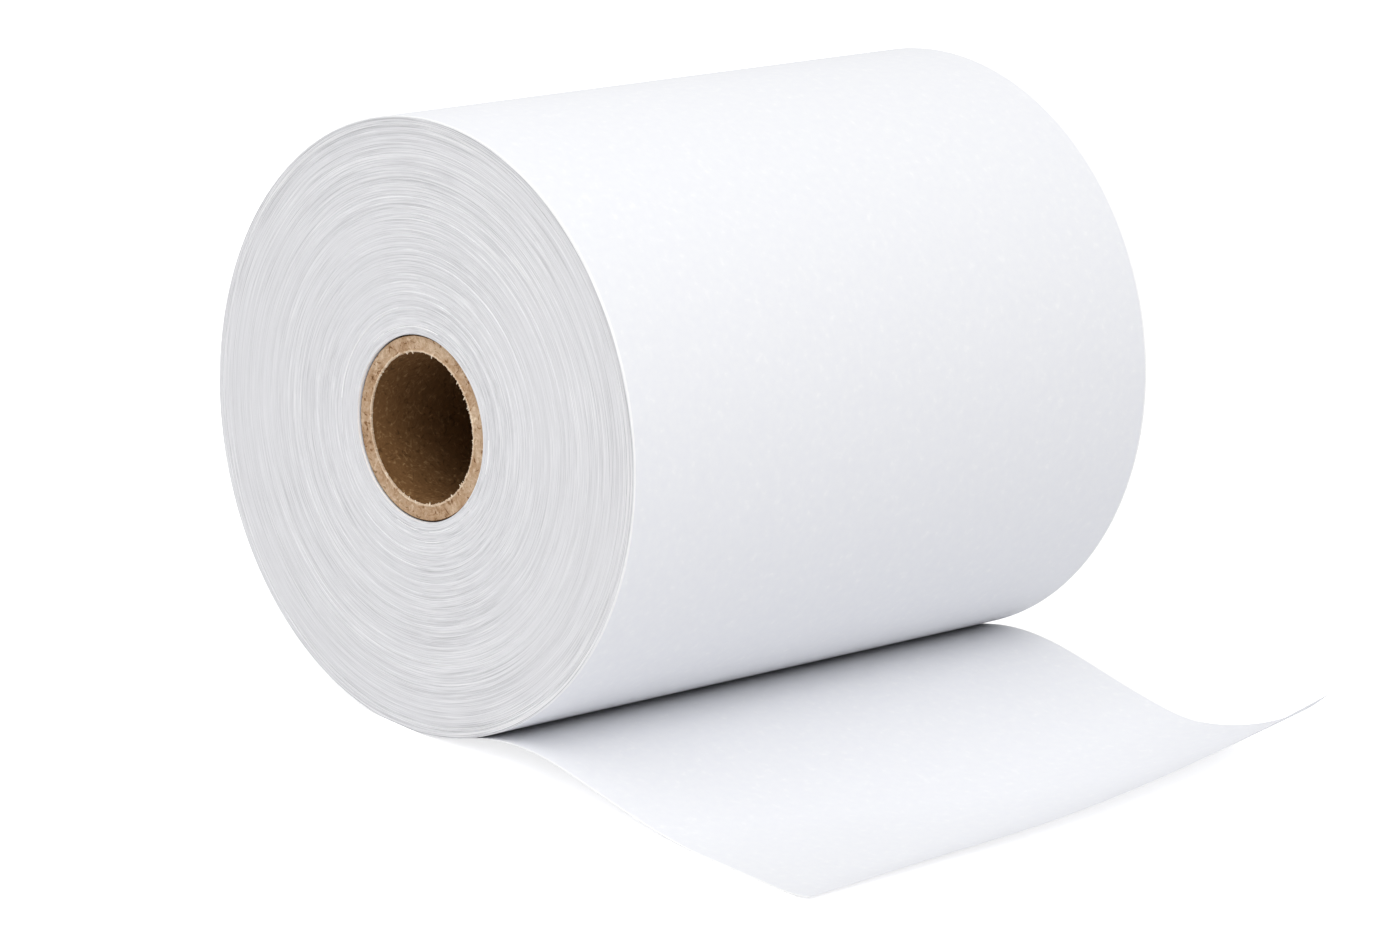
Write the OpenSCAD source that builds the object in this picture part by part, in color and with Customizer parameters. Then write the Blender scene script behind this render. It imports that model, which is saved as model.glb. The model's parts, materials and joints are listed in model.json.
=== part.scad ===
// Hard-wound paper roll on a kraft tube, lying on its side, with the outer end of its web
// drawn out over the table. The roll's axis runs along Y and the web leaves towards +X.
// The origin is on the table, in the middle of the flat that the roll rests on.
// All sizes are in millimetres and all angles in degrees.

/* [Roll] */
// Diameter over the outermost turn
roll_d = 174; // [120:1:240]
// Width of the web, and so the length of the roll
roll_len = 203; // [100:1:300]
// Thickness of the web
web_t = 0.15; // [0.1:0.01:0.4]
// Width of the flat that the roll's weight presses into its lowest turns
flat_w = 18; // [12:1:30]
// Bands of turns that stand proud or sit back at the two ends
bands = 14; // [6:1:24]
// Furthest that a band strays along the axis
stray = 0.6; // [0.1:0.1:1.5]

/* [Tube] */
// Bore of the tube
bore_d = 43; // [30:1:80]
// Wall of the tube
tube_wall = 4.7; // [2.5:0.1:8]
// Distance from the paper's ends back to the tube's cut ends
tube_recess = 0.8; // [0.2:0.1:3]
// Worn edge at the inner and outer rims of the tube
tube_edge = 0.5; // [0.2:0.1:1]
// Glue gap between the tube and the innermost turn
glue_gap = 0.1; // [0.05:0.05:0.5]

/* [Loose web] */
// Angle past the lowest point of the roll where the web leaves it
leave_deg = 19; // [15:1:35]
// Distance along the table from there to where the web lies down
hump_len = 102; // [80:1:160]
// Stiffness of the hump at the roll, as the length of its tangent
hump_lift = 34; // [20:1:45]
// Stiffness of the hump at the table, as the length of its tangent
hump_settle = 50; // [20:1:60]
// Length that lies past the hump, half way across the web
tail_len = 36; // [20:1:90]
// Extra length of the far edge over the middle, from a slanting cut
tail_skew = 6; // [0:1:15]
// Radius of the curl that the web keeps from the roll
curl_r = 86; // [60:1:200]
// Turn of the curl's axis, which lifts the far corner more than the near one
curl_deg = 14; // [0:1:25]
// Distance past the hump where the curl starts, half way across the web
curl_start = 2; // [0:1:20]

/* [Hidden] */

roll_r = roll_d / 2;
axis_h = sqrt(pow(roll_r, 2) - pow(flat_w / 2, 2));
bore_r = bore_d / 2;
tube_r = bore_r + tube_wall;
wound_r = tube_r + glue_gap;
tube_len = roll_len - 2 * tube_recess;

// Steps of the round shapes
round_fn = 180;
// Golden angle, which keeps neighbouring bands from falling into a pattern
golden_deg = 137.5;
// Share of a band's depth by which its edges move off an even spacing
uneven = 0.3;

// The web's root dips this far under the outermost turn, over this angle of the roll
root_depth = 8 * web_t;
root_deg = 7;
// The web's underside stands this far off the outermost turn where it leaves
root_proud = web_t / 3;

// Steps along the hump, along the tail and across the web
hump_steps = 20;
tail_steps = 7;
cross_steps = 8;
last_step = hump_steps + tail_steps + 1;

leave_x = (roll_r + root_proud) * sin(leave_deg);
leave_z = axis_h - (roll_r + root_proud) * cos(leave_deg);
touch_x = leave_x + hump_len;

// Radius of the edge between band k - 1 and band k, counted out from the tube
function band_edge(k) =
    k == 0 ? wound_r :
    k == bands ? roll_r :
    wound_r + (roll_r - wound_r) * (k + uneven * sin(golden_deg * k)) / bands;

// Distance that band k strays along the axis; the outermost band is the web's own place
function band_stray(k) =
    k == bands - 1 ? 0 : stray * sin(golden_deg * pow(k + 1, 2));

// Two corners of band k at the end that lies at place along the axis
function band_corners(k, place) = [
    [band_edge(k), place + band_stray(k)],
    [band_edge(k + 1), place + band_stray(k)]
];

// Half section of the wound turns: out along one end, back along the other
function wound_section() = concat(
    [for (k = [0 : bands - 1]) each band_corners(k, -roll_len / 2)],
    [for (k = [bands - 1 : -1 : 0])
        let (pair = band_corners(k, roll_len / 2))
        each [pair[1], pair[0]]]
);

// Point of a cubic curve with the four control points q
function cubic(q, u) =
    pow(1 - u, 3) * q[0] + 3 * pow(1 - u, 2) * u * q[1]
    + 3 * (1 - u) * pow(u, 2) * q[2] + pow(u, 3) * q[3];

// Control points of the hump: it leaves along the roll's tangent and lands flat
hump_curve = [
    [leave_x, leave_z],
    [leave_x, leave_z] + hump_lift * [cos(leave_deg), sin(leave_deg)],
    [touch_x - hump_settle, 0],
    [touch_x, 0]
];

// Start of the web, under the outermost turn
root_point = [
    (roll_r - root_depth) * sin(leave_deg - root_deg),
    axis_h - (roll_r - root_depth) * cos(leave_deg - root_deg)
];

// Length of the tail at a share of the half width, from -1 at the near edge to 1
function tail_reach(side) = tail_len + tail_skew * side;

// Underside of the web at step i, seen along the roll's axis
function web_path(i, side) =
    i == 0 ? root_point :
    i <= hump_steps + 1 ? cubic(hump_curve, (i - 1) / hump_steps) :
    [touch_x + tail_reach(side) * (i - 1 - hump_steps) / tail_steps, 0];

// Unit vector that points out of the upper face of the web at step i
function web_normal(i, side) =
    let (
        ahead = web_path(min(i + 1, last_step), side),
        behind = web_path(max(i - 1, 0), side),
        run = (ahead - behind) / norm(ahead - behind)
    )
    [-run[1], run[0]];

// Rolls a point up round the curl's axis, which lies curl_r above the table
function curled(p) =
    let (
        past = (p[0] - touch_x - curl_start) * cos(curl_deg) + p[1] * sin(curl_deg),
        turn = past / curl_r * 180 / PI,
        moved = (curl_r - p[2]) * sin(turn) - past
    )
    past <= 0 ? p : [
        p[0] + moved * cos(curl_deg),
        p[1] + moved * sin(curl_deg),
        curl_r - (curl_r - p[2]) * cos(turn)
    ];

// Corner of the web at step i along, step j across, on its lower (0) or upper (1) face
function web_corner(i, j, face) =
    let (
        side = 2 * j / cross_steps - 1,
        p = web_path(i, side) + face * web_t * web_normal(i, side)
    )
    curled([p[0], side * roll_len / 2, p[1]]);

// Number of that corner in the list of points
function corner_id(i, j, face) = (i * (cross_steps + 1) + j) * 2 + face;

// The wound turns, with bands that stray at the ends and a flat to rest on
module wound_turns() {
    difference() {
        translate([0, 0, axis_h])
            rotate([-90, 0, 0])
                rotate_extrude($fn = round_fn)
                    polygon(wound_section());
        translate([-roll_r, -roll_len, -roll_r])
            cube([roll_d, 2 * roll_len, roll_r]);
    }
}

// The loose end of the web: a hump off the roll, a flat stretch and a curled far corner
module loose_web() {
    along = [0 : last_step - 1];
    across = [0 : cross_steps - 1];
    far = cross_steps;
    polyhedron(
        points = [
            for (i = [0 : last_step], j = [0 : cross_steps], face = [0, 1])
                web_corner(i, j, face)
        ],
        faces = concat(
            [for (i = along, j = across) [
                corner_id(i, j, 1), corner_id(i, j + 1, 1),
                corner_id(i + 1, j + 1, 1), corner_id(i + 1, j, 1)
            ]],
            [for (i = along, j = across) [
                corner_id(i, j, 0), corner_id(i + 1, j, 0),
                corner_id(i + 1, j + 1, 0), corner_id(i, j + 1, 0)
            ]],
            [for (i = along) [
                corner_id(i, 0, 0), corner_id(i, 0, 1),
                corner_id(i + 1, 0, 1), corner_id(i + 1, 0, 0)
            ]],
            [for (i = along) [
                corner_id(i + 1, far, 0), corner_id(i + 1, far, 1),
                corner_id(i, far, 1), corner_id(i, far, 0)
            ]],
            [for (j = across) [
                corner_id(0, j + 1, 0), corner_id(0, j + 1, 1),
                corner_id(0, j, 1), corner_id(0, j, 0)
            ]],
            [for (j = across) [
                corner_id(last_step, j, 0), corner_id(last_step, j, 1),
                corner_id(last_step, j + 1, 1), corner_id(last_step, j + 1, 0)
            ]]
        ),
        convexity = 4
    );
}

// The web: one sheet, wound from the tube out to its loose end
module paper() {
    color([0.93, 0.94, 0.96]) {
        wound_turns();
        loose_web();
    }
}

// The spiral-wound kraft tube, cut square, with its rims worn
module core() {
    half = tube_len / 2;
    color([0.72, 0.60, 0.47])
        translate([0, 0, axis_h])
            rotate([-90, 0, 0])
                rotate_extrude($fn = round_fn)
                    polygon([
                        [bore_r, -half + tube_edge],
                        [bore_r + tube_edge, -half],
                        [tube_r - tube_edge, -half],
                        [tube_r, -half + tube_edge],
                        [tube_r, half - tube_edge],
                        [tube_r - tube_edge, half],
                        [bore_r + tube_edge, half],
                        [bore_r, half - tube_edge]
                    ]);
}

paper();
core();
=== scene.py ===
# %% [markdown]
# # A hard-wound roll of white paper on a kraft tube
#
# The roll lies on its side and the outer end of its web is drawn out over the table. The CAD
# model gives the sizes and the place of everything: this script only gives it its looks. Two
# ideas carry the whole picture. The web is one sheet, so the wound turns and the loose end are
# one closed surface here, and the two ends of the roll are the cut edges of some four hundred
# turns, which never line up.

# %% Load the frame
import bpy
import json
import math
import numpy as np
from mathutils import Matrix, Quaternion, Vector


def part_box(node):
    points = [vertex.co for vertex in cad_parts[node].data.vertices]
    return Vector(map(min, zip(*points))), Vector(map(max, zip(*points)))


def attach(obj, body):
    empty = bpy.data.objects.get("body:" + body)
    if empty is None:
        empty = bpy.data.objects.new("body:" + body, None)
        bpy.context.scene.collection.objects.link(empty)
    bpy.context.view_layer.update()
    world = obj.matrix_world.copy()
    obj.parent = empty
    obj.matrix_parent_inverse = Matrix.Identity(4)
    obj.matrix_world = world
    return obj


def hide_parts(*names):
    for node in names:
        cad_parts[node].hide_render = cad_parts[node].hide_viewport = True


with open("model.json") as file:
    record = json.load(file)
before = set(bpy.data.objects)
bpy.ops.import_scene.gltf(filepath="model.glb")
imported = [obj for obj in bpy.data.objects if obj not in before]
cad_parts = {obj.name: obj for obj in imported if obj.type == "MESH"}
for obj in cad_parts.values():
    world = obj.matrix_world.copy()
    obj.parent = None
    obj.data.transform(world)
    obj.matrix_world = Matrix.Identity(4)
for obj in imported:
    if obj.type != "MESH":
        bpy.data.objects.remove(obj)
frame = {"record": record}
bpy.context.view_layer.update()
MM = 0.001

# %% [markdown]
# ## Sizes from the frame
#
# Every size that the CAD model holds is read from it, so that nothing has to be fitted. The
# bore's mount gives the height of the roll's axis and the bore's radius, and the boxes of the
# two nodes give the outer radii. A box can't tell how far the tube stands back, how wide the
# glue gap is or how thick the web is, so these three are written here again, with the same
# values as in the part's source. So is the shape of the loose end, further down.

# %% Read the sizes
mounts = {mount["name"]: mount for mount in frame["record"]["mounts"]}
axis_h = mounts["tube_bore"]["pos_m"][2]
bore_r = mounts["tube_bore"]["dims"]["r_mm"] * MM
paper_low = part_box("paper")[0]
tube_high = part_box("core")[1]
roll_r = -paper_low.x
tube_r = tube_high.x
tube_half = tube_high.y
tube_recess = 0.8 * MM
glue_gap = 0.1 * MM
wound_r = tube_r + glue_gap
roll_half = tube_half + tube_recess
web_t = 0.15 * MM
print("roll radius", round(roll_r, 5), "half length", round(roll_half, 5), "axis height", axis_h)

# %% [markdown]
# ## Small helpers
#
# A colour is written as the sRGB hex value that a picture shows, and turned to the linear
# value that the renderer counts in. One function adds a node with its settings and links, and
# one turns arrays of points and faces into a mesh. A ripple is a smooth random curve, given by
# its lowest and highest number of waves and by how many of them it adds up. Random numbers
# come from one seeded generator, so every run draws the same roll.

# %% Colours, nodes and meshes
rng = np.random.default_rng(11)


def linear(hex_colour):
    """Turns an sRGB hex colour such as 'c8a27c' to linear red, green, blue and alpha 1."""
    values = [int(hex_colour[i:i + 2], 16) / 255 for i in (0, 2, 4)]
    curve = [v / 12.92 if v <= 0.04045 else ((v + 0.055) / 1.055) ** 2.4 for v in values]
    return (*curve, 1.0)


def add(tree, kind, settings=(), links=()):
    """Adds a node of that kind. Each setting is a property or an input socket, by name or number."""
    node = tree.nodes.new(kind)
    for name, value in dict(settings).items():
        if isinstance(name, str) and hasattr(node, name):
            setattr(node, name, value)
        else:
            node.inputs[name].default_value = value
    for name, source in dict(links).items():
        tree.links.new(source, node.inputs[name])
    return node


def make_mesh(name, points, faces, smooth_below=35):
    """Makes an object from an (n, 3) array of points and lists of corner numbers, one list for each
    face size. Edges sharper than smooth_below degrees stay crisp."""
    corners = [np.asarray(group, int) for group in faces if len(group)]
    sizes = np.concatenate([np.full(len(group), group.shape[1]) for group in corners])
    starts = np.concatenate([[0], np.cumsum(sizes)[:-1]])
    loops = np.concatenate([group.ravel() for group in corners])
    mesh = bpy.data.meshes.new(name)
    mesh.vertices.add(len(points))
    mesh.vertices.foreach_set("co", np.asarray(points, np.float32).ravel())
    mesh.loops.add(len(loops))
    mesh.loops.foreach_set("vertex_index", loops.astype(np.int32))
    mesh.polygons.add(len(sizes))
    mesh.polygons.foreach_set("loop_start", starts.astype(np.int32))
    mesh.polygons.foreach_set("use_smooth", np.ones(len(sizes), bool))
    mesh.update(calc_edges=True)
    mesh.validate()
    mesh.set_sharp_from_angle(angle=math.radians(smooth_below))
    piece = bpy.data.objects.new(name, mesh)
    bpy.context.scene.collection.objects.link(piece)
    triangles = int((sizes - 2).sum())
    print(name, "has", len(points), "points and", triangles, "triangles")
    return piece


def ripple(x, lowest, highest, count):
    """A smooth random curve over x: count cosines with random phases, whose numbers of waves over
    2 pi lie between lowest and highest, scaled to a spread of about 1."""
    waves = rng.uniform(lowest, highest, count)
    phases = rng.uniform(0, 2 * math.pi, count)
    return np.cos(np.multiply.outer(x, waves) + phases).sum(-1) / math.sqrt(count / 2)


# %% [markdown]
# ## The camera
#
# The picture was taken with a long lens from above and to the right of the roll, so its
# perspective is weak. The numbers come from fitting a plain camera to the outline of the roll,
# the two rims of the tube and the edges of the loose end. The camera leans a little, which is
# why the table seems to slope in the picture.

# %% Place the camera
VIEW_AZIMUTH = 45.12
VIEW_ELEVATION = 16.24
VIEW_LEAN = 4.68
VIEW_DISTANCE = 1.7287
VIEW_AIM = Vector((0.0092, -0.0003, 0.0634))
LENS_MM, SENSOR_MM = 154.4, 36
CLIP_NEAR, CLIP_FAR = 0.05, 60
azimuth, elevation = math.radians(VIEW_AZIMUTH), math.radians(VIEW_ELEVATION)
backwards = Vector((
    math.sin(azimuth) * math.cos(elevation),
    -math.cos(azimuth) * math.cos(elevation),
    math.sin(elevation),
))
lens = bpy.data.cameras.new("camera")
lens.sensor_width = SENSOR_MM
lens.lens = LENS_MM
lens.clip_start = CLIP_NEAR
lens.clip_end = CLIP_FAR
camera = bpy.data.objects.new("camera", lens)
camera.location = VIEW_AIM + VIEW_DISTANCE * backwards
camera.rotation_mode = "QUATERNION"
lean = Quaternion((0, 0, 1), math.radians(VIEW_LEAN))
camera.rotation_quaternion = backwards.to_track_quat("Z", "Y") @ lean
bpy.context.scene.collection.objects.link(camera)
bpy.context.scene.camera = camera
print("camera at", tuple(round(v, 3) for v in camera.location))

# %% [markdown]
# ## The path of the web
#
# Seen along the roll's axis, the web is one line. It goes once round the roll as a spiral that
# grows by the web's own thickness, leaves along the tangent a little past the lowest point,
# rises in a low hump, lies down and ends. A real web does this because the paper is stiff
# enough to keep its tangent and heavy enough to come down again, and a cubic curve with those
# two tangents has just that shape. Last, the paper remembers the roll: it curls up about a
# slanting axis, which lifts its far corner. The values down to CURL_START are those of the
# part's source. The others add a few millimetres of length and a low curl of the very edge,
# highest towards the near corner, which are too fine for the solids.

# %% Shape of the loose end
LEAVE = math.radians(19)
HUMP_LEN = 102 * MM
HUMP_LIFT = 34 * MM
HUMP_SETTLE = 50 * MM
TAIL_LEN = 36 * MM
TAIL_SKEW = 6 * MM
CURL_R = 86 * MM
CURL_TURN = math.radians(14)
CURL_START = 2 * MM
END_SPARE, SKEW_SPARE = 2.6 * MM, 1.4 * MM
END_CURL_LEN = 15 * MM
END_LIFT, LIFT_SKEW = 0.6 * MM, 0.1 * MM
WAVE_LIFT = 1.3 * MM
WAVE_SIDE, WAVE_WIDTH = -0.6, 0.40
HUMP_TO_TAIL = 3
leave_point = np.array([roll_r * math.sin(LEAVE), axis_h - roll_r * math.cos(LEAVE)])
leave_along = np.array([math.cos(LEAVE), math.sin(LEAVE)])
touch_x = leave_point[0] + HUMP_LEN


def spiral_turn(steps):
    """The outermost turn, counted anticlockwise from where the web leaves: angles, and radii that grow
    evenly from one web thickness under the roll's radius to the full radius."""
    turn = np.linspace(0, 1, steps + 1)
    return LEAVE - math.pi / 2 + 2 * math.pi * turn, roll_r - web_t * (1 - turn)


def loose_path(steps, side):
    """The underside of the loose end at steps + 1 stations, for each side from -1 (near edge) to 1.
    A cubic hump, then a straight tail with one station for HUMP_TO_TAIL of the hump's. The tail's
    end rises as a parabola, most at WAVE_SIDE. Gives two (steps + 1, sides) arrays, of x and z."""
    u = np.linspace(0, 1 + 1 / HUMP_TO_TAIL, steps + 1)[:, None] + 0 * side[None, :]
    hump, tail = np.clip(u, 0, 1), np.clip(HUMP_TO_TAIL * (u - 1), 0, 1)
    knots = [leave_point, leave_point + HUMP_LIFT * leave_along,
             np.array([touch_x - HUMP_SETTLE, 0]), np.array([touch_x, 0])]
    weights = [(1 - hump) ** 3, 3 * (1 - hump) ** 2 * hump, 3 * (1 - hump) * hump ** 2, hump ** 3]
    x = sum(w * knot[0] for w, knot in zip(weights, knots))
    z = sum(w * knot[1] for w, knot in zip(weights, knots))
    reach = TAIL_LEN + END_SPARE + (TAIL_SKEW - SKEW_SPARE) * side
    near_end = np.clip(1 - (1 - tail) * reach / END_CURL_LEN, 0, 1)
    wave = np.exp(-((side - WAVE_SIDE) / WAVE_WIDTH) ** 2)
    lift = END_LIFT - LIFT_SKEW * side + WAVE_LIFT * wave
    return x + tail * reach, z + lift * near_end ** 2


def curled(points):
    """Rolls points up round an axis CURL_R above the table that is turned by CURL_TURN: a point keeps
    its height over the sheet and its distance past the axis becomes an arc of the same length."""
    x, y, z = points.T
    past = (x - touch_x - CURL_START) * math.cos(CURL_TURN) + y * math.sin(CURL_TURN)
    turn = np.clip(past, 0, None) / CURL_R
    moved = (CURL_R - z) * np.sin(turn) - np.clip(past, 0, None)
    lifted = CURL_R - (CURL_R - z) * np.cos(turn)
    return np.stack([x + moved * math.cos(CURL_TURN), y + moved * math.sin(CURL_TURN), lifted], 1)


print("the web leaves at", leave_point.round(4), "and lies down at", round(touch_x, 4))

# %% [markdown]
# ## The cut edges of the turns
#
# While a web is wound it wanders sideways by a fraction of a millimetre, so each end of the
# roll is a stack of tiny steps: bands of a few turns stand proud or sit back, and here and
# there one band slips. Light falls on the wall of such a step as a thin line, dark above the
# tube where it is bright below it, so no painted line could do the same. The steps are real
# geometry here: each band has a ring of points at its inner and at its outer edge, and the
# wall between two bands is one turn wide. The bands are unevenly wide, since an even spacing
# reads as a gramophone record, and their height changes slowly round the turn.

# %% Bands of turns and their relief
BANDS = 92
NARROWEST, WIDEST = 0.4, 1.6
RIM_TURNS = 3
WALL_WIDTH = 0.16 * MM
TURN_STEPS = 200
DRIFT, STEP, SLIP = 0.06 * MM, 0.042 * MM, 0.048 * MM
DRIFT_WAVES = (0.12, 0.5, 6)
EVEN_SHARE, SWAY_SHARE = 0.8, 0.7
SLIP_SHARE = 0.13
SWAY_WAVES, SWAY_FALL = 24, 5
INNER_GAIN, INNER_MM = 1.6, 6.0
OUTER_GAIN, OUTER_MM = 0.6, 4.0


def band_radii():
    """Radii of the rings of points between the tube and the last few turns, two for each band: random
    widths, added up, less half a wall at either edge."""
    edges = np.concatenate([[0], np.cumsum(rng.uniform(NARROWEST, WIDEST, BANDS))])
    edges = wound_r + (roll_r - RIM_TURNS * web_t - wound_r) * edges / edges[-1]
    inner, outer = edges[:-1] + WALL_WIDTH / 2, edges[1:] - WALL_WIDTH / 2
    inner[0], outer[-1] = edges[0], edges[-1]
    return np.stack([inner, outer], 1).ravel()


def band_relief(radii, angles):
    """How far each ring stands out of the end, for each angle: a slow drift with the radius, a random
    step for each band that sways round the turn, and a few slips that fade out on one side. The
    steps are higher next to the tube and in the outer turns, where the web is held less well."""
    drift = DRIFT * ripple(radii[::2] / MM, *DRIFT_WAVES)
    waves = np.arange(1, SWAY_WAVES + 1)[:, None, None]
    phases = rng.uniform(0, 2 * math.pi, (len(waves), BANDS, 1))
    swaying = np.cos(waves * angles + phases) / (1 + (waves / SWAY_FALL) ** 2)
    sway = swaying.sum(0) / math.sqrt(SWAY_FALL / 2)
    gain = 1 + INNER_GAIN * np.exp((wound_r - radii[::2]) / MM / INNER_MM)
    gain = gain + OUTER_GAIN * np.exp((radii[::2] - roll_r) / MM / OUTER_MM)
    steps = STEP * (EVEN_SHARE * rng.standard_normal((BANDS, 1)) + SWAY_SHARE * sway)
    slipped = (rng.random((BANDS, 1)) < SLIP_SHARE) * rng.choice([-1, 1], (BANDS, 1))
    fading = 0.5 + 0.5 * np.cos(angles - rng.uniform(0, 2 * math.pi, (BANDS, 1)))
    return np.repeat(drift[:, None] + gain[:, None] * (steps + SLIP * slipped * fading), 2, axis=0)


radii = band_radii()
angles, outer_radii = spiral_turn(TURN_STEPS)
reliefs = [band_relief(radii, angles), band_relief(radii, angles)]
print(BANDS, "bands, relief up to", round(float(np.abs(reliefs[0]).max()) / MM, 2), "mm")

# %% [markdown]
# ## One closed surface for the whole web
#
# The outline of the web is a loop: once round the shell, along the underside of the loose end,
# round its cut edge and back along its upper face. Carried across the width it gives the shell
# and both faces of the loose end in one grid. The two ends are ring grids whose outer ring is
# the rim of that same grid. Where the loop closes, its two points lie one web thickness apart,
# and a five-cornered face takes both, so the surface has no hole.

# %% Grid of the shell and the loose end
WIDTH_STEPS = 44
LOOSE_STEPS = 96
PRESS_DEPTH = 6 * MM
COCKLE = 0.10 * MM
COCKLE_ALONG, COCKLE_ACROSS = (0.02, 0.07, 3), (0.01, 0.05, 3)
CRISP_WEB = 8


def cockle(x, y):
    """Slight waves of the loose end, as heights for places x and y in metres: a paper web that has
    been wound for long never lies quite smooth."""
    waves = ripple(x / MM, *COCKLE_ALONG) * ripple(y / MM, *COCKLE_ACROSS)
    return COCKLE * waves


def web_outline_points():
    """The loop of the web's outline at WIDTH_STEPS + 1 places across, as a (loop, across, 3) array:
    the shell's turn, the underside of the loose end outwards and its upper face back."""
    side = np.linspace(-1, 1, WIDTH_STEPS + 1)
    across = roll_half * side
    shell = np.stack([
        outer_radii[:, None] * np.cos(angles)[:, None] + 0 * across,
        across + 0 * angles[:, None],
        axis_h + outer_radii[:, None] * np.sin(angles)[:, None] + 0 * across,
    ], -1)
    x, z = loose_path(LOOSE_STEPS, side)
    z = z + cockle(x, across[None, :]) * np.clip((x - leave_point[0]) / HUMP_LIFT, 0, 1)
    z = np.maximum(z, 0)
    run_x, run_z = np.gradient(x, axis=0), np.gradient(z, axis=0)
    length = np.hypot(run_x, run_z)
    y = across[None, :] + 0 * x
    under = np.stack([x, y, z], -1)
    upper = np.stack([x - web_t * run_z / length, y, z + web_t * run_x / length], -1)
    faces = [curled(face.reshape(-1, 3)).reshape(face.shape) for face in (under, upper)]
    upper_back = faces[1][:0:-1]
    return np.concatenate([shell, faces[0][1:], upper_back])


def press_flat(points):
    """Lifts what lies below the table up to it, and the turns above it by less and less, as the roll's
    own weight presses its lowest turns. The round roll would reach dip below the table at a place."""
    x, z = points[..., 0], points[..., 2]
    under_roll = np.abs(x) < roll_r * math.sin(LEAVE / 2)
    round_z = axis_h - np.sqrt(roll_r ** 2 - np.where(under_roll, x, 0) ** 2)
    dip = np.clip(-round_z, 0, None)
    height = np.clip(z - round_z, 0, None)
    lift = dip * np.exp(-height / PRESS_DEPTH)
    points[..., 2] = np.where(under_roll, np.maximum(z + lift, 0), z)
    return points


loop = web_outline_points()
loop[:TURN_STEPS + 1] = press_flat(loop[:TURN_STEPS + 1])
print("the loop has", loop.shape[0], "stations of", loop.shape[1], "points")

# %% Rings of the two ends, and all faces
def end_rings(relief, end):
    """Points of one end's rings, from the tube outwards, as a (rings, turn, 3) array. end is -1 for
    the near end and 1 for the far one; the relief moves each point along the axis."""
    turn = angles[:-1]
    x = radii[:, None] * np.cos(turn)
    z = axis_h + radii[:, None] * np.sin(turn)
    y = end * roll_half + relief[:, :-1]
    return press_flat(np.stack([x, y, z], -1))


def quads(a, b, c, d):
    """Four-cornered faces from four equal arrays of point numbers."""
    return np.stack([np.ravel(part) for part in (a, b, c, d)], 1)


def web_faces(first_ring_point):
    """All faces of the web: the swept loop, the two ends with their five-cornered closing face, the
    side edges of the loose end, and the bore. Each end's rings follow the loop in the points."""
    stations, places = loop.shape[:2]
    number = np.arange(stations * places).reshape(stations, places)
    ahead = np.roll(number, -1, 0)
    groups = [quads(number[:, :-1], number[:, 1:], ahead[:, 1:], ahead[:, :-1])]
    tip = TURN_STEPS + 1 + LOOSE_STEPS
    closing = []
    inner_rings = []
    for order, place in ((1, 0), (-1, places - 1)):
        start = first_ring_point + (0 if order == 1 else len(radii) * TURN_STEPS)
        rings = start + np.arange(len(radii) * TURN_STEPS).reshape(len(radii), TURN_STEPS)
        inner_rings.append(rings[0])
        rim = number[:TURN_STEPS + 1, place]
        grid = np.concatenate([rings, rim[None, :-1]])
        right = np.roll(grid, -1, 1)
        cells = np.stack([grid[:-1], grid[1:], right[1:], right[:-1]], -1)
        outer_last = cells[-1, -1].copy()
        cells = cells.reshape(-1, 4)[:-1]
        closing.append([outer_last[0], outer_last[1], rim[-1], rim[0], outer_last[3]][::order])
        edge_under = np.concatenate([rim[-1:], number[TURN_STEPS + 1:tip, place]])
        edge_upper = np.concatenate([rim[:1], number[:tip - 1:-1, place]])
        sides = quads(edge_under[:-1], edge_under[1:], edge_upper[1:], edge_upper[:-1])
        groups += [cells[:, ::order], sides[:, ::order]]
    near, far = inner_rings
    groups.append(quads(near, np.roll(near, -1), np.roll(far, -1), far))
    return groups + [np.array(closing)]


near_rings, far_rings = (end_rings(relief, end) for relief, end in zip(reliefs, (-1, 1)))
web_points = np.concatenate([part.reshape(-1, 3) for part in (loop, near_rings, far_rings)])
web = make_mesh("paper_web", web_points, web_faces(loop.shape[0] * loop.shape[1]), CRISP_WEB)
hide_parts("paper")
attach(web, "root")

# %% [markdown]
# ## The kraft tube
#
# The tube is wound from strips of kraft board, glued on a slant and sawn to length. Its cut
# end is felted and shows its plies as faint rings. The saw leaves a low burr round the bore,
# the outer corner is worn away, and a seam runs round the bore as a long screw line. The
# section is a closed line carried round the axis, and each of those marks is a small shift of
# its points. The dark line of the worn corner against the paper is painted shade, drawn by the
# material further down.

# %% Section and marks of the tube
PLIES = 6
PLY_STEP = 0.05 * MM
PLY_WANDER, PLY_WAVES = 0.7, (1, 6, 4)
BURR_HEIGHT = 0.20 * MM
BURR_WIDTH = 0.20 * MM
BURR_UNEVEN = 0.3
WORN_WIDTH = 0.35 * MM
WORN_DEPTH = 0.55 * MM
FELT_HEIGHT = 0.05 * MM
SEAM_LEAD = 68 * MM
SEAM_WIDTH = 1.3 * MM
SEAM_DEPTH = 0.22 * MM
RIM_TEAR = 0.17 * MM
TEAR_LENGTH, TEAR_DEPTH = 0.8 * MM, 0.3 * MM
RAGGED_SHARE, RAGGED_WAVES = 0.8, (20, 90, 8)
END_INSET = 0.1 * MM
MICROMETRE = MM / 1000
CORNER_STEPS = np.array([0, 0.12, 0.26, 0.42, 0.62, 0.90]) * MM
WORN_SCALE = 0.7
MIDDLE_FROM, MIDDLE_TO, MIDDLE_STATIONS = 1.2 * MM, 0.9 * MM, 11
OUTSIDE_STEPS = 3
TUBE_TURN_STEPS = 480
BORE_STEPS = 84
wall = tube_r - bore_r


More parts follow.
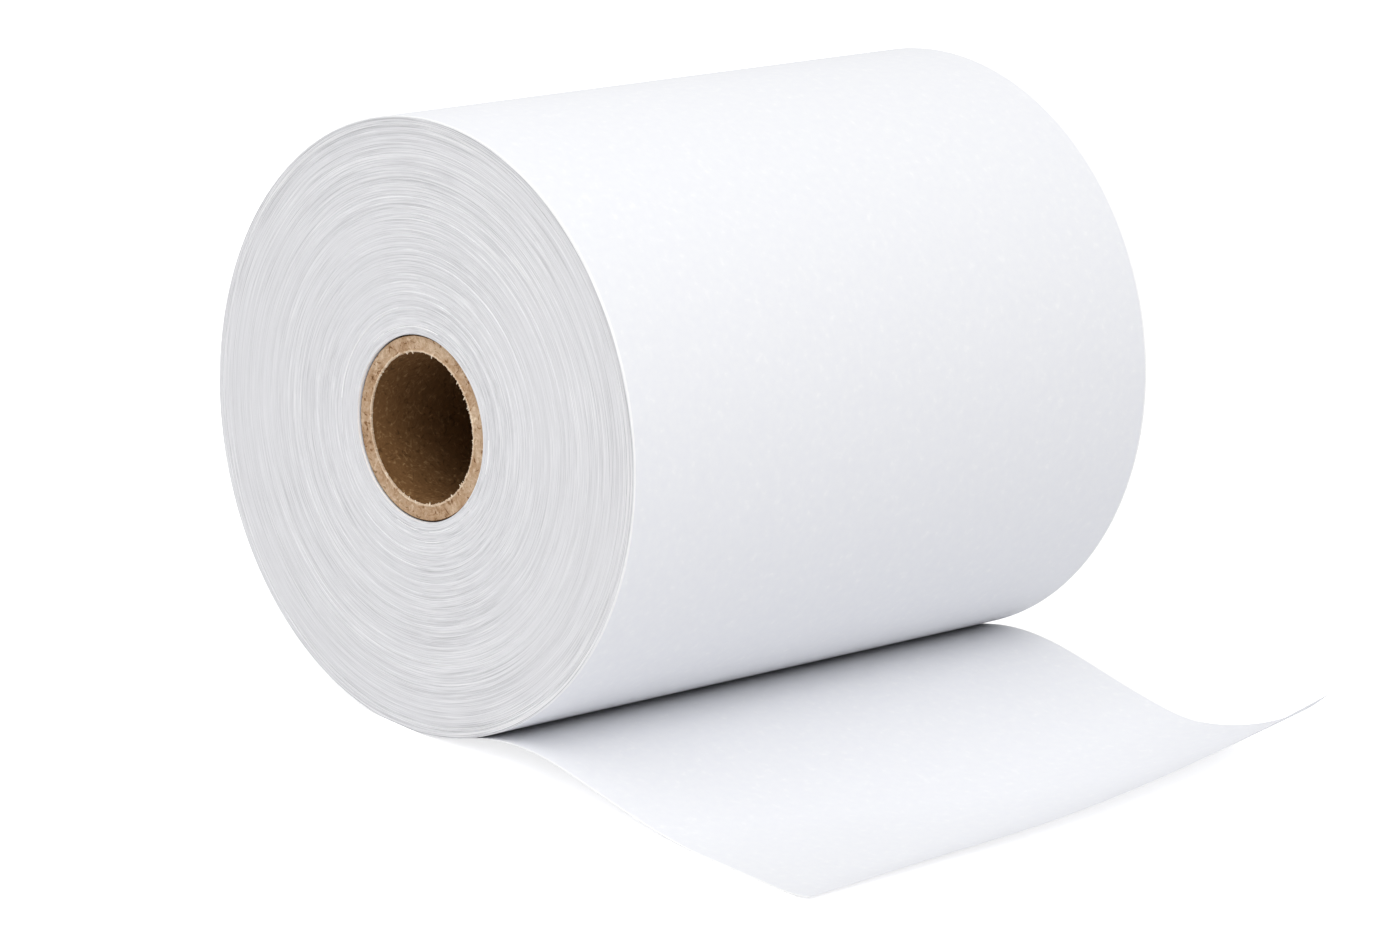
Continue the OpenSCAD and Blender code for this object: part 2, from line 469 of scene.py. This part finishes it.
def tube_section():
    """Radius and place along the axis of the section's points, as a closed line: across the near end
    outwards, along the outside, across the far end inwards, and back along the bore. The steps across
    an end are close together at the burr and at the worn corner, those of the bore at its ends."""
    middle = np.linspace(MIDDLE_FROM, wall - MIDDLE_TO, MIDDLE_STATIONS)
    worn_steps = CORNER_STEPS[-2::-1] * WORN_SCALE
    across = bore_r + np.concatenate([CORNER_STEPS, middle, wall - worn_steps])
    outside = np.linspace(-tube_half, tube_half, OUTSIDE_STEPS + 1)[1:-1]
    inside = tube_half * np.sin(np.linspace(math.pi / 2, -math.pi / 2, BORE_STEPS + 1))[2:-2]
    radius = np.concatenate([
        across, np.full(len(outside), tube_r), across[::-1], np.full(len(inside), bore_r)])
    place = np.concatenate([
        np.full(len(across), -tube_half), outside, np.full(len(across), tube_half), inside])
    return radius, place


def tube_points():
    """The section turned about the axis, as a (turn, section, 3) array. On the ends the height is ply
    waves, plus the burr, less the worn corner, plus felt; the bore has its seam and a torn rim."""
    radius, place = (part[None, :] for part in tube_section())
    turn = np.linspace(0, 2 * math.pi, TUBE_TURN_STEPS, endpoint=False)[:, None]
    depth = radius - bore_r
    end = np.where(np.abs(place) > tube_half - MICROMETRE, np.sign(place), 0)
    ragged = rng.standard_normal((TUBE_TURN_STEPS, 1)) + RAGGED_SHARE * ripple(turn, *RAGGED_WAVES)
    wander = PLY_WANDER * ripple(turn, *PLY_WAVES)
    ply = PLY_STEP * np.sin(2 * math.pi * PLIES * depth / wall + wander)
    burr = BURR_HEIGHT * (1 + BURR_UNEVEN * ragged) * np.exp(-((depth - BURR_WIDTH) / BURR_WIDTH) ** 2)
    outer_corner = WORN_DEPTH * np.clip((depth - wall + WORN_WIDTH) / WORN_WIDTH, 0, 1)
    felt = FELT_HEIGHT * rng.standard_normal((TUBE_TURN_STEPS, radius.shape[1]))
    place_now = place + end * (ply + burr + felt * (depth > 0) - outer_corner - END_INSET)
    rim = np.exp((np.abs(place) - tube_half) / TEAR_LENGTH) * np.exp(-depth / TEAR_DEPTH)
    screw = (place / SEAM_LEAD + turn / (2 * math.pi)) % 1 - 0.5
    seam = SEAM_DEPTH * np.exp(-(screw * SEAM_LEAD / SEAM_WIDTH) ** 2) * (depth == 0) * (end == 0)
    radius_now = radius - RIM_TEAR * rim * np.abs(ragged) + seam
    return np.stack([
        radius_now * np.cos(turn), place_now + 0 * turn, axis_h + radius_now * np.sin(turn)], -1)


def wrapped_faces(turns, around):
    """Faces of a grid that closes both ways: turns about the axis and around the section."""
    number = np.arange(turns * around).reshape(turns, around)
    ahead, beside = np.roll(number, -1, 0), np.roll(number, -1, 1)
    return quads(number, beside, np.roll(ahead, -1, 1), ahead)


tube_grid = tube_points()
tube = make_mesh("kraft_tube", tube_grid.reshape(-1, 3), [wrapped_faces(*tube_grid.shape[:2])])
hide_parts("core")
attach(tube, "root")

# %% [markdown]
# ## Torn fibres at the tube's rims
#
# Seen close, pale nibs of torn fibre stand on the burr and point over the bore, some of them
# in small groups. A single fibre is too fine to show, so each nib is a bundle: a short pointed
# tuft, 0.4 to 0.7 mm thick at its root, that starts in the burr and bends a little. They are
# one piece, since by itself no tuft is more than a few faces.

# %% Tufts of fibre
TUFTS = 42
TUFT_SIDES = 6
TUFT_RINGS = 6
SHORTEST_MM, LONGER_MM, RARELY_LONG = 0.35, 0.65, 1.5
THINNEST_MM, THICKER_MM = 0.18, 0.16
LEAN_ALONG, LEAN_OUT = (-0.4, 0.4), (-0.2, 0.3)
TAPER, TAPER_POWER = 0.70, 1.2
FLATTENED = 1.3
ROOT_DEPTH, ROOT_INSET = 0.20 * MM, 0.10 * MM
CRISP_TUFTS = 80


def tuft_points(end):
    """Points of the tufts at one end, as a (tuft, ring, side, 3) array: a tapering tube round a line that
    starts inside the burr, runs towards the bore's axis and bends along the turn."""
    start = np.sort(rng.uniform(0, 2 * math.pi, TUFTS))[:, None, None]
    reach = (SHORTEST_MM + LONGER_MM * rng.random(TUFTS) ** RARELY_LONG)[:, None, None] * MM
    thick = (THINNEST_MM + THICKER_MM * rng.random(TUFTS))[:, None, None] * MM
    lean_along = rng.uniform(*LEAN_ALONG, TUFTS)[:, None, None]
    lean_out = rng.uniform(*LEAN_OUT, TUFTS)[:, None, None]
    t = np.linspace(0, 1, TUFT_RINGS)[None, :, None]
    side = np.linspace(0, 2 * math.pi, TUFT_SIDES, endpoint=False)[None, None, :]
    girth = thick * (1 - TAPER * t ** TAPER_POWER)
    radius = bore_r + ROOT_DEPTH - (reach + ROOT_DEPTH) * t + 0 * side
    turn = start + (lean_along * reach * t ** 2 + FLATTENED * girth * np.cos(side)) / bore_r
    place = end * (tube_half - ROOT_INSET + lean_out * reach * t + girth * np.sin(side))
    return np.stack([radius * np.cos(turn), place + 0 * turn, axis_h + radius * np.sin(turn)], -1)


def tuft_faces(first, order):
    """Sides and both end caps of all tufts of one end; order -1 turns the faces over."""
    number = first + np.arange(TUFTS * TUFT_RINGS * TUFT_SIDES).reshape(TUFTS, TUFT_RINGS, TUFT_SIDES)
    beside = np.roll(number, -1, 2)
    sides = quads(number[:, :-1], beside[:, :-1], beside[:, 1:], number[:, 1:])
    caps = np.concatenate([number[:, 0, ::-1], number[:, -1]])
    return [sides[:, ::order], caps[:, ::order]]


near_tufts, far_tufts = tuft_points(-1).reshape(-1, 3), tuft_points(1).reshape(-1, 3)
tuft_groups = tuft_faces(0, -1) + tuft_faces(len(near_tufts), 1)
tufts = make_mesh("torn_fibres", np.concatenate([near_tufts, far_tufts]), tuft_groups, CRISP_TUFTS)
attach(tufts, "root")

# %% [markdown]
# ## Material: bleached machine-finished paper
#
# The shell is a smooth white towel web, pressed flat by the mill's last rollers. It is matt,
# with a faint cloudiness where its fibres lie denser, and a touch of blue from the dye that
# makes bleached pulp look whiter. Both are so weak that they are felt more than seen, but
# without them the shell looks like painted plastic. The clouds are 2 to 3 mm wide, as in real
# paper. Its fibres are some 0.03 mm wide and would not show, so the grain of the bump is drawn
# more than ten times as coarse. Along its two cut edges the web is painted a little whiter
# still, as a painted highlight on the rims. The free end has painted shade: past where it lies
# down it is a shade greyer than the wound turns, most of all towards its near corner.

# %% Web material
PAPER_WHITE = "f1f2f5"
PAPER_CLOUD = "eff0f4"
FLOC_PER_M = 420
GRAIN_PER_M = 2600
# Width and start of the painted highlight along the shell's two rims.
RIM_HIGHLIGHT_EDGE = 0.5 * MM
RIM_HIGHLIGHT_START = 1.4 * RIM_HIGHLIGHT_EDGE
# Painted shade on the free end: its length, its slant and its darkest tone.
PAINTED_SHADE_LEN, PAINTED_SHADE_SLANT, PAINTED_SHADE_TONE = 50 * MM, 0.25, 0.90


def new_material(name):
    """A material with an empty node tree but for its output: gives both and the output node."""
    material = bpy.data.materials.new(name)
    material.use_nodes = True
    tree = material.node_tree
    tree.nodes.clear()
    return material, tree, tree.nodes.new("ShaderNodeOutputMaterial")


def tint_ramp(tree, value, stops):
    """A colour ramp over value; stops are pairs of a position and an sRGB hex colour."""
    ramp = add(tree, "ShaderNodeValToRGB", {}, {"Fac": value})
    while len(ramp.color_ramp.elements) < len(stops):
        ramp.color_ramp.elements.new(0.5)
    for element, (position, colour) in zip(ramp.color_ramp.elements, stops):
        element.position = position
        element.color = linear(colour)
    return ramp.outputs["Color"]


def finish_material(tree, output, colour, height, bump_depth, bump_strength, roughness, specular):
    """Closes a material: bump from height, and a shader with colour, roughness and specular level."""
    bump = add(tree, "ShaderNodeBump", {"Strength": bump_strength, "Distance": bump_depth},
               {"Height": height})
    shader = add(tree, "ShaderNodeBsdfPrincipled", {
        "Roughness": roughness, "Specular IOR Level": specular},
                 {"Base Color": colour, "Normal": bump.outputs["Normal"]})
    tree.links.new(shader.outputs["BSDF"], output.inputs["Surface"])


def paper_web_material():
    """Two sizes of noise on Object coordinates: flocs of 2 to 3 mm tint the white, and grain of some
    0.4 mm gives the bump. Near the ends of the roll the tint goes on to full white, a painted
    highlight. Past where the web lies down, painted shade scales the colour down evenly over
    PAINTED_SHADE_LEN along a slanting line."""
    material, tree, output = new_material("bleached_paper_web")
    place = add(tree, "ShaderNodeTexCoord").outputs["Object"]
    floc = add(tree, "ShaderNodeTexNoise", {"Scale": FLOC_PER_M, "Detail": 4.0, "Roughness": 0.6},
               {"Vector": place})
    across = add(tree, "ShaderNodeSeparateXYZ", {}, {"Vector": place})
    from_middle = add(tree, "ShaderNodeMath", {"operation": "ABSOLUTE"}, {0: across.outputs["Y"]})
    # Painted highlight: the tint goes to full white next to both ends of the roll.
    rim_highlight = add(tree, "ShaderNodeMapRange", {
        "From Min": roll_half - RIM_HIGHLIGHT_START, "From Max": roll_half - RIM_HIGHLIGHT_EDGE},
                 {"Value": from_middle.outputs["Value"]})
    tone = add(tree, "ShaderNodeMath", {"operation": "ADD"},
               {0: floc.outputs["Fac"], 1: rim_highlight.outputs["Result"]})
    stops = [(0.35, PAPER_CLOUD), (0.60, PAPER_WHITE), (1.0, "ffffff")]
    colour = tint_ramp(tree, tone.outputs["Value"], stops)
    # Painted shade: the free end's colour is scaled down towards its front edge.
    along = add(tree, "ShaderNodeVectorMath", {"operation": "DOT_PRODUCT", 1: (1, -PAINTED_SHADE_SLANT, 0)},
                {0: place})
    painted_shade = add(tree, "ShaderNodeMapRange", {
        "From Min": touch_x, "From Max": touch_x + PAINTED_SHADE_LEN, "To Min": 1.0, "To Max": PAINTED_SHADE_TONE},
               {"Value": along.outputs["Value"]})
    greyed = add(tree, "ShaderNodeVectorMath", {"operation": "SCALE"},
                 {0: colour, "Scale": painted_shade.outputs["Result"]})
    grain = add(tree, "ShaderNodeTexNoise", {"Scale": GRAIN_PER_M, "Detail": 3.0}, {"Vector": place})
    finish_material(tree, output, greyed.outputs["Vector"], grain.outputs["Fac"],
                    bump_depth=0.05 * MM, bump_strength=0.12, roughness=0.72, specular=0.35)
    return material


# %% [markdown]
# ## Material: the cut edges of the turns
#
# At the ends we look at the edges of hundreds of turns. Their colour paints light and shade: a
# painted highlight where a turn stands proud, and a painted dark line of shade where it sits back.
# Such a line follows the turn a long way and then fades. So the noise is read in polar places:
# finely across the turns and coarsely along them. Two grades of it are laid over each other, long
# lines and short finer ones. The turns are 0.15 mm apart. The fine lines lie about as close, and
# the long ones are drawn more than twice as wide, since the picture can't show single turns everywhere.

# %% Cut edge material
# These tints paint highlight and shade on the turns' edges, from the darkest to the brightest.
EDGE_STOPS = [(0.30, "c9c9cb"), (0.42, "e0e0e2"), (0.50, "eaeaec"), (0.58, "f2f2f4"), (0.70, "ffffff")]
LONG_ACROSS, LONG_ALONG = 2.8, 0.8
SHORT_ACROSS, SHORT_ALONG = 8.5, 4.5
SHORT_SHARE = 1.3
WANDER_MM, WANDER_PER_M = 0.6, 22.0
FADING_PER_M = 26.0
FAINTEST, STRONGEST = 0.31, 0.74
# Painted highlight on the last turns, and painted shade in the groove before them.
OUTER_TURNS_MM, OUTER_BLEND_MM, OUTER_HIGHLIGHT_TONE = 0.45, 0.1, 0.35
GROOVE_MM, GROOVE_SHADE_TONE = 0.35, -0.12
LOOSE_FROM_MM, LOOSE_TO_MM, LOOSE_GAIN = 4.5, 3.0, 1.8
END_FACING = 0.6


def off_axis(tree, place, scale):
    """The part of a place that points away from the roll's axis, times scale, and its length."""
    centred = add(tree, "ShaderNodeVectorMath", {"operation": "SUBTRACT", 1: (0, 0, axis_h)}, {0: place})
    flat = add(tree, "ShaderNodeVectorMath", {"operation": "MULTIPLY", 1: (scale, 0, scale)},
               {0: centred.outputs["Vector"]})
    distance = add(tree, "ShaderNodeVectorMath", {"operation": "LENGTH"}, {0: flat.outputs["Vector"]})
    return flat.outputs["Vector"], distance.outputs["Value"]


def cut_edge_material():
    """Noise over a vector of the distance from the axis in millimetres, and of the direction from the
    axis as cosine and sine, so that it has no seam. Two grades of it bump the edges and tint them
    with painted highlight and painted shade, and a broad noise makes them fade. They are stronger
    in the loose outer turns, whose last few are a painted highlight behind a painted dark groove."""
    material, tree, output = new_material("cut_paper_edges")
    place = add(tree, "ShaderNodeTexCoord").outputs["Object"]
    away, distance = off_axis(tree, place, 1 / MM)
    direction = add(tree, "ShaderNodeVectorMath", {"operation": "NORMALIZE"}, {0: away})
    sway = add(tree, "ShaderNodeTexNoise", {"Scale": WANDER_PER_M, "Detail": 2.0}, {"Vector": place})
    swayed = add(tree, "ShaderNodeMath", {"operation": "MULTIPLY_ADD", 1: WANDER_MM},
                 {0: sway.outputs["Fac"], 2: distance})
    grades = []
    for across, along, detail in ((LONG_ACROSS, LONG_ALONG, 3.0), (SHORT_ACROSS, SHORT_ALONG, 2.0)):
        step = add(tree, "ShaderNodeMath", {"operation": "MULTIPLY", 1: across},
                   {0: swayed.outputs["Value"]})
        lifted = add(tree, "ShaderNodeCombineXYZ", {}, {"Y": step.outputs["Value"]})
        polar = add(tree, "ShaderNodeVectorMath", {"operation": "MULTIPLY_ADD", 1: (along, along, along)},
                    {0: direction.outputs["Vector"], 2: lifted.outputs["Vector"]})
        grades.append(add(tree, "ShaderNodeTexNoise", {"Scale": 1.0, "Detail": detail, "Roughness": 0.65},
                          {"Vector": polar.outputs["Vector"]}))
    both = add(tree, "ShaderNodeMath", {"operation": "MULTIPLY_ADD", 1: SHORT_SHARE},
               {0: grades[1].outputs["Fac"], 2: grades[0].outputs["Fac"]})
    middle = 0.5 * (1 + SHORT_SHARE)
    centred_lines = add(tree, "ShaderNodeMath", {"operation": "SUBTRACT", 1: middle},
                        {0: both.outputs["Value"]})
    fading = add(tree, "ShaderNodeTexNoise", {"Scale": FADING_PER_M, "Detail": 2.0}, {"Vector": place})
    contrast = add(tree, "ShaderNodeMapRange", {
        "From Min": 0.35, "From Max": 0.65, "To Min": FAINTEST, "To Max": STRONGEST},
                   {"Value": fading.outputs["Fac"]})
    looser = add(tree, "ShaderNodeMapRange", {
        "From Min": roll_r / MM - LOOSE_FROM_MM, "From Max": roll_r / MM - LOOSE_TO_MM,
        "To Min": 1.0, "To Max": LOOSE_GAIN}, {"Value": distance})
    strength = add(tree, "ShaderNodeMath", {"operation": "MULTIPLY"},
                   {0: contrast.outputs["Result"], 1: looser.outputs["Result"]})
    faded = add(tree, "ShaderNodeMath", {"operation": "MULTIPLY_ADD", 2: 0.5},
                {0: centred_lines.outputs["Value"], 1: strength.outputs["Value"]})
    # Painted shade for a groove, then a painted highlight on the last few turns.
    outer_from = roll_r / MM - OUTER_TURNS_MM
    groove = add(tree, "ShaderNodeMapRange", {
        "From Min": outer_from - GROOVE_MM, "From Max": outer_from,
        "To Min": 0.0, "To Max": GROOVE_SHADE_TONE}, {"Value": distance})
    outer = add(tree, "ShaderNodeMapRange", {
        "From Min": outer_from, "From Max": outer_from + OUTER_BLEND_MM,
        "To Min": 0.0, "To Max": OUTER_HIGHLIGHT_TONE}, {"Value": distance})
    rims = add(tree, "ShaderNodeMath", {"operation": "ADD"},
               {0: groove.outputs["Result"], 1: outer.outputs["Result"]})
    height = add(tree, "ShaderNodeMath", {"operation": "ADD"},
                 {0: faded.outputs["Value"], 1: rims.outputs["Value"]}).outputs["Value"]
    # The lines' height gives the bump and also the painted highlight and shade in the colour.
    colour = tint_ramp(tree, height, EDGE_STOPS)
    finish_material(tree, output, colour, height,
                    bump_depth=0.22 * MM, bump_strength=0.30, roughness=0.85, specular=0.2)
    return material


# %% Dress the web
def paint_faces(piece, chosen):
    """Gives the chosen faces, a boolean array, the piece's second material."""
    piece.data.polygons.foreach_set("material_index", chosen.astype(np.int32))
    piece.data.update()
    print(piece.name, "has", int(chosen.sum()), "of", len(chosen), "faces in its second material")


def face_values(piece, kind):
    """Normals or centres of all faces of a piece, as an (n, 3) array."""
    values = np.empty(len(piece.data.polygons) * 3, np.float32)
    piece.data.polygons.foreach_get(kind, values)
    return values.reshape(-1, 3)


web.data.materials.append(paper_web_material())
web.data.materials.append(cut_edge_material())
paint_faces(web, np.abs(face_values(web, "normal")[:, 1]) > END_FACING)

# %% [markdown]
# ## Material: kraft board
#
# Kraft board is brown unbleached pulp without any gloss. Its long fibres lie in every
# direction, some lighter and some darker than the rest, and they are what the eye looks for.
# A fibre is a thin curved line, and so is a contour line of a noise: where the noise is close
# to one of its levels, the material draws a fibre, and a finer noise breaks it into pieces.
# Real fibres are some 0.04 mm wide and would not show, so these are as wide as a bundle, 0.2
# to 0.3 mm. The sawn ends are pale and open. The liner ply in the bore is darker and denser.

# %% Kraft materials
SAWN_STOPS = [
    (0.05, "4a3524"), (0.30, "8f6a48"), (0.42, "bb9876"),
    (0.52, "c9aa8b"), (0.66, "dcc2a5"), (0.90, "f2dec5"),
]
LINER_STOPS = [(0.26, "452d16"), (0.42, "6f4e2c"), (0.54, "805d39"), (0.70, "b29066")]
TORN_STOPS = [(0.34, "ead6b9"), (0.64, "f8ead6")]
PULP_PER_M, CLOUD_PER_M, TORN_PER_M = 900.0, 150.0, 700.0
FIBRE_PER_M = 130
FIBRE_LEVELS = 7
FIBRE_CORE, FIBRE_EDGE = 0.05, 0.17
FIBRE_BREAKS = 4.0
FIBRE_TURNS = [(0.5, 0.9, 0.2), (1.3, 0.3, 1.1), (2.1, 1.7, 0.6)]
FIBRE_FINENESS = (1.0, 1.5, 1.2)
TORN_SPREAD = 0.7 * MM
BURR_TONE, BURR_FULL, BURR_GONE = 0.24, 0.60 * MM, 0.82 * MM
# Painted shade on the worn outer corner, dark where tube and paper meet.
CORNER_SHADE_TONE, CORNER_SHADE_START, CORNER_SHADE_FULL = 0.85, 0.48 * MM, 0.18 * MM
LINER_INSET, LINER_DEPTH = 0.6 * MM, 0.4 * MM


def fibre_lines(tree, place, turn, fineness):
    """A mask of thin, slightly curved fibres: contour lines of a turned noise at FIBRE_LEVELS even
    levels, each the distance of the scaled noise from the nearest whole number, broken into short
    pieces by a finer noise."""
    mapping = add(tree, "ShaderNodeMapping", {"Rotation": turn, "Location": turn}, {"Vector": place})
    turned = mapping.outputs["Vector"]
    warped = add(tree, "ShaderNodeTexNoise", {
        "Scale": FIBRE_PER_M * fineness, "Detail": 1.0, "Distortion": 0.6}, {"Vector": turned})
    levels = add(tree, "ShaderNodeMath", {"operation": "MULTIPLY", 1: FIBRE_LEVELS},
                 {0: warped.outputs["Fac"]})
    away = add(tree, "ShaderNodeMath", {"operation": "PINGPONG", 1: 0.5}, {0: levels.outputs["Value"]})
    line = add(tree, "ShaderNodeMapRange", {
        "From Min": FIBRE_CORE, "From Max": FIBRE_EDGE, "To Min": 1.0, "To Max": 0.0},
               {"Value": away.outputs["Value"]})
    breaks = add(tree, "ShaderNodeTexNoise", {"Scale": FIBRE_PER_M * FIBRE_BREAKS, "Detail": 1.0},
                 {"Vector": turned})
    pieces = add(tree, "ShaderNodeMapRange", {"From Min": 0.50, "From Max": 0.60},
                 {"Value": breaks.outputs["Fac"]})
    return add(tree, "ShaderNodeMath", {"operation": "MULTIPLY"},
               {0: line.outputs["Result"], 1: pieces.outputs["Result"]}).outputs["Value"]


def rim_tone(tree, place):
    """Tone by the distance from the axis: lighter on the burr round the bore, out to a line that a
    noise makes uneven, and painted shade in the worn corner, dark where tube and paper meet."""
    distance = off_axis(tree, place, 1)[1]
    torn = add(tree, "ShaderNodeTexNoise", {"Scale": TORN_PER_M, "Detail": 2.0}, {"Vector": place})
    uneven = add(tree, "ShaderNodeMath", {"operation": "MULTIPLY_ADD", 1: TORN_SPREAD},
                 {0: torn.outputs["Fac"], 2: distance})
    burr = add(tree, "ShaderNodeMapRange", {
        "From Min": bore_r + BURR_FULL, "From Max": bore_r + BURR_GONE,
        "To Min": BURR_TONE, "To Max": 0.0}, {"Value": uneven.outputs["Value"]})
    # Painted shade: dark in the worn outer corner.
    outer_corner = add(tree, "ShaderNodeMapRange", {
        "From Min": tube_r - CORNER_SHADE_START, "From Max": tube_r - CORNER_SHADE_FULL,
        "To Min": 0.0, "To Max": -CORNER_SHADE_TONE}, {"Value": distance})
    return add(tree, "ShaderNodeMath", {"operation": "ADD"},
               {0: burr.outputs["Result"], 1: outer_corner.outputs["Result"]}).outputs["Value"]


def kraft_material(name, stops, pulp_share, cloud_share, light_fibres, dark_fibres, has_rims=False):
    """Pulp tone from a fine and a cloudy noise, with two sets of light fibres and one of dark ones
    laid over it by those shares."""
    material, tree, output = new_material(name)
    place = add(tree, "ShaderNodeTexCoord").outputs["Object"]
    pulp = add(tree, "ShaderNodeTexNoise", {
        "Scale": PULP_PER_M, "Detail": 5.0, "Roughness": 0.7, "Distortion": 0.5}, {"Vector": place})
    cloud = add(tree, "ShaderNodeTexNoise", {"Scale": CLOUD_PER_M, "Detail": 2.0}, {"Vector": place})
    middle = 0.5 - 0.5 * (pulp_share + cloud_share)
    cloudy = add(tree, "ShaderNodeMath", {"operation": "MULTIPLY_ADD", 1: cloud_share, 2: middle},
                 {0: cloud.outputs["Fac"]})
    tone = add(tree, "ShaderNodeMath", {"operation": "MULTIPLY_ADD", 1: pulp_share},
               {0: pulp.outputs["Fac"], 2: cloudy.outputs["Value"]})
    shares = (light_fibres, light_fibres, -dark_fibres)
    for turn, fineness, share in zip(FIBRE_TURNS, FIBRE_FINENESS, shares):
        fibres = fibre_lines(tree, place, turn, fineness)
        tone = add(tree, "ShaderNodeMath", {"operation": "MULTIPLY_ADD", 1: share},
                   {0: fibres, 2: tone.outputs["Value"]})
    height = tone.outputs["Value"]
    if has_rims:
        tone = add(tree, "ShaderNodeMath", {"operation": "ADD"}, {0: height, 1: rim_tone(tree, place)})
    colour = tint_ramp(tree, tone.outputs["Value"], stops)
    finish_material(tree, output, colour, height,
                    bump_depth=0.15 * MM, bump_strength=0.5, roughness=0.9, specular=0.2)
    return material


tube.data.materials.append(kraft_material(
    "sawn_kraft_board", SAWN_STOPS, pulp_share=0.62, cloud_share=0.50,
    light_fibres=0.13, dark_fibres=0.24, has_rims=True))
tube.data.materials.append(kraft_material(
    "kraft_liner_ply", LINER_STOPS, pulp_share=0.40, cloud_share=0.16,
    light_fibres=0.08, dark_fibres=0.12))
tufts.data.materials.append(kraft_material(
    "torn_kraft_fibre", TORN_STOPS, pulp_share=1.0, cloud_share=0.0,
    light_fibres=0.05, dark_fibres=0.06))
tube_places = face_values(tube, "center")
tube_distance = np.hypot(tube_places[:, 0], tube_places[:, 2] - axis_h)
inside_ends = np.abs(tube_places[:, 1]) < tube_half - LINER_INSET
paint_faces(tube, inside_ends & (tube_distance < bore_r + LINER_DEPTH))
print("materials:", [material.name for material in bpy.data.materials])

# %% [markdown]
# ## Table, light and background
#
# The picture shows the roll in a white studio: light comes from everywhere, most of it from
# above and from the right, and the table is as white as the air. The table is a plain sheet a
# hair under the roll. The camera sees it brighter than it is, so that it turns white in the
# open and still keeps the shadow that the roll casts. The sky is a dome that is strongest
# overhead, and three soft boxes give the light its direction.

# %% Table
FLOOR_HALF = 6.0
FLOOR_GAP = 0.05 * MM
FLOOR_GLOW = 0.70
FLOOR_WHITE = "f2f2f4"


def seen_directly(tree):
    """1 where a thing is seen by the camera, in a reflection or through something clear, and 0
    where it only lights other things."""
    path = add(tree, "ShaderNodeLightPath")
    direct = add(tree, "ShaderNodeMath", {"operation": "MAXIMUM"},
                 {0: path.outputs["Is Camera Ray"], 1: path.outputs["Is Glossy Ray"]})
    shown = add(tree, "ShaderNodeMath", {"operation": "MAXIMUM"},
                {0: direct.outputs["Value"], 1: path.outputs["Is Transmission Ray"]})
    return shown.outputs["Value"]


corners = np.array([[-1, -1], [1, -1], [1, 1], [-1, 1]]) * FLOOR_HALF
floor = make_mesh("floor", np.column_stack([corners, np.full(4, -FLOOR_GAP)]), [[[0, 1, 2, 3]]])
floor_look, floor_tree, floor_output = new_material("white_table")
lit = add(floor_tree, "ShaderNodeBsdfDiffuse", {"Color": linear(FLOOR_WHITE)})
glow_power = add(floor_tree, "ShaderNodeMath", {"operation": "MULTIPLY", 1: FLOOR_GLOW},
                 {0: seen_directly(floor_tree)})
glow = add(floor_tree, "ShaderNodeEmission", {"Color": (1, 1, 1, 1)},
           {"Strength": glow_power.outputs["Value"]})
both = add(floor_tree, "ShaderNodeAddShader", {}, {0: lit.outputs["BSDF"], 1: glow.outputs["Emission"]})
floor_tree.links.new(both.outputs["Shader"], floor_output.inputs["Surface"])
floor.data.materials.append(floor_look)

# %% Sky
SKY_TOP_POWER = 1.03
world = bpy.data.worlds.new("studio")
bpy.context.scene.world = world
world.use_nodes = True
sky_tree = world.node_tree
sky_tree.nodes.clear()
sky_output = sky_tree.nodes.new("ShaderNodeOutputWorld")
towards = add(sky_tree, "ShaderNodeTexCoord")
heights = add(sky_tree, "ShaderNodeSeparateXYZ", {}, {"Vector": towards.outputs["Generated"]})
upper_half = add(sky_tree, "ShaderNodeMath", {"operation": "MAXIMUM", 1: 0.0}, {0: heights.outputs["Z"]})
dome = add(sky_tree, "ShaderNodeMath", {"operation": "MULTIPLY", 1: SKY_TOP_POWER},
           {0: upper_half.outputs["Value"]})
power = add(sky_tree, "ShaderNodeMath", {"operation": "MAXIMUM"},
            {0: dome.outputs["Value"], 1: seen_directly(sky_tree)})
sky = add(sky_tree, "ShaderNodeBackground", {"Color": (1, 1, 1, 1)}, {"Strength": power.outputs["Value"]})
sky_tree.links.new(sky.outputs["Background"], sky_output.inputs["Surface"])
print("sky of strength", SKY_TOP_POWER, "overhead, falling to 0 at the horizon")

# %% Soft boxes
# Each one has its place, its width in metres and its power in watts.
SOFT_BOXES = {
    "right_soft_box": ((1.00, -0.60, 1.30), 1.0, 10.2),
    "overhead_soft_box": ((0.20, -0.60, 1.50), 1.0, 2.9),
    "left_soft_box": ((-1.30, -0.60, 0.30), 0.8, 3.6),
}


def area_lamp(name, place, size, watts):
    """Adds a square soft box at place that looks at the roll."""
    light = bpy.data.lights.new(name, "AREA")
    light.size = size
    light.energy = watts
    lamp = bpy.data.objects.new(name, light)
    lamp.location = place
    lamp.rotation_mode = "QUATERNION"
    lamp.rotation_quaternion = (Vector(place) - VIEW_AIM).to_track_quat("Z", "Y")
    bpy.context.scene.collection.objects.link(lamp)
    print(name, "of", watts, "W")


for name, values in SOFT_BOXES.items():
    area_lamp(name, *values)
bpy.context.scene.view_settings.view_transform = "Standard"

# %% [markdown]
# ## Closing
#
# At the end the view layer is brought up to date.

# %% Finish
bpy.context.view_layer.update()
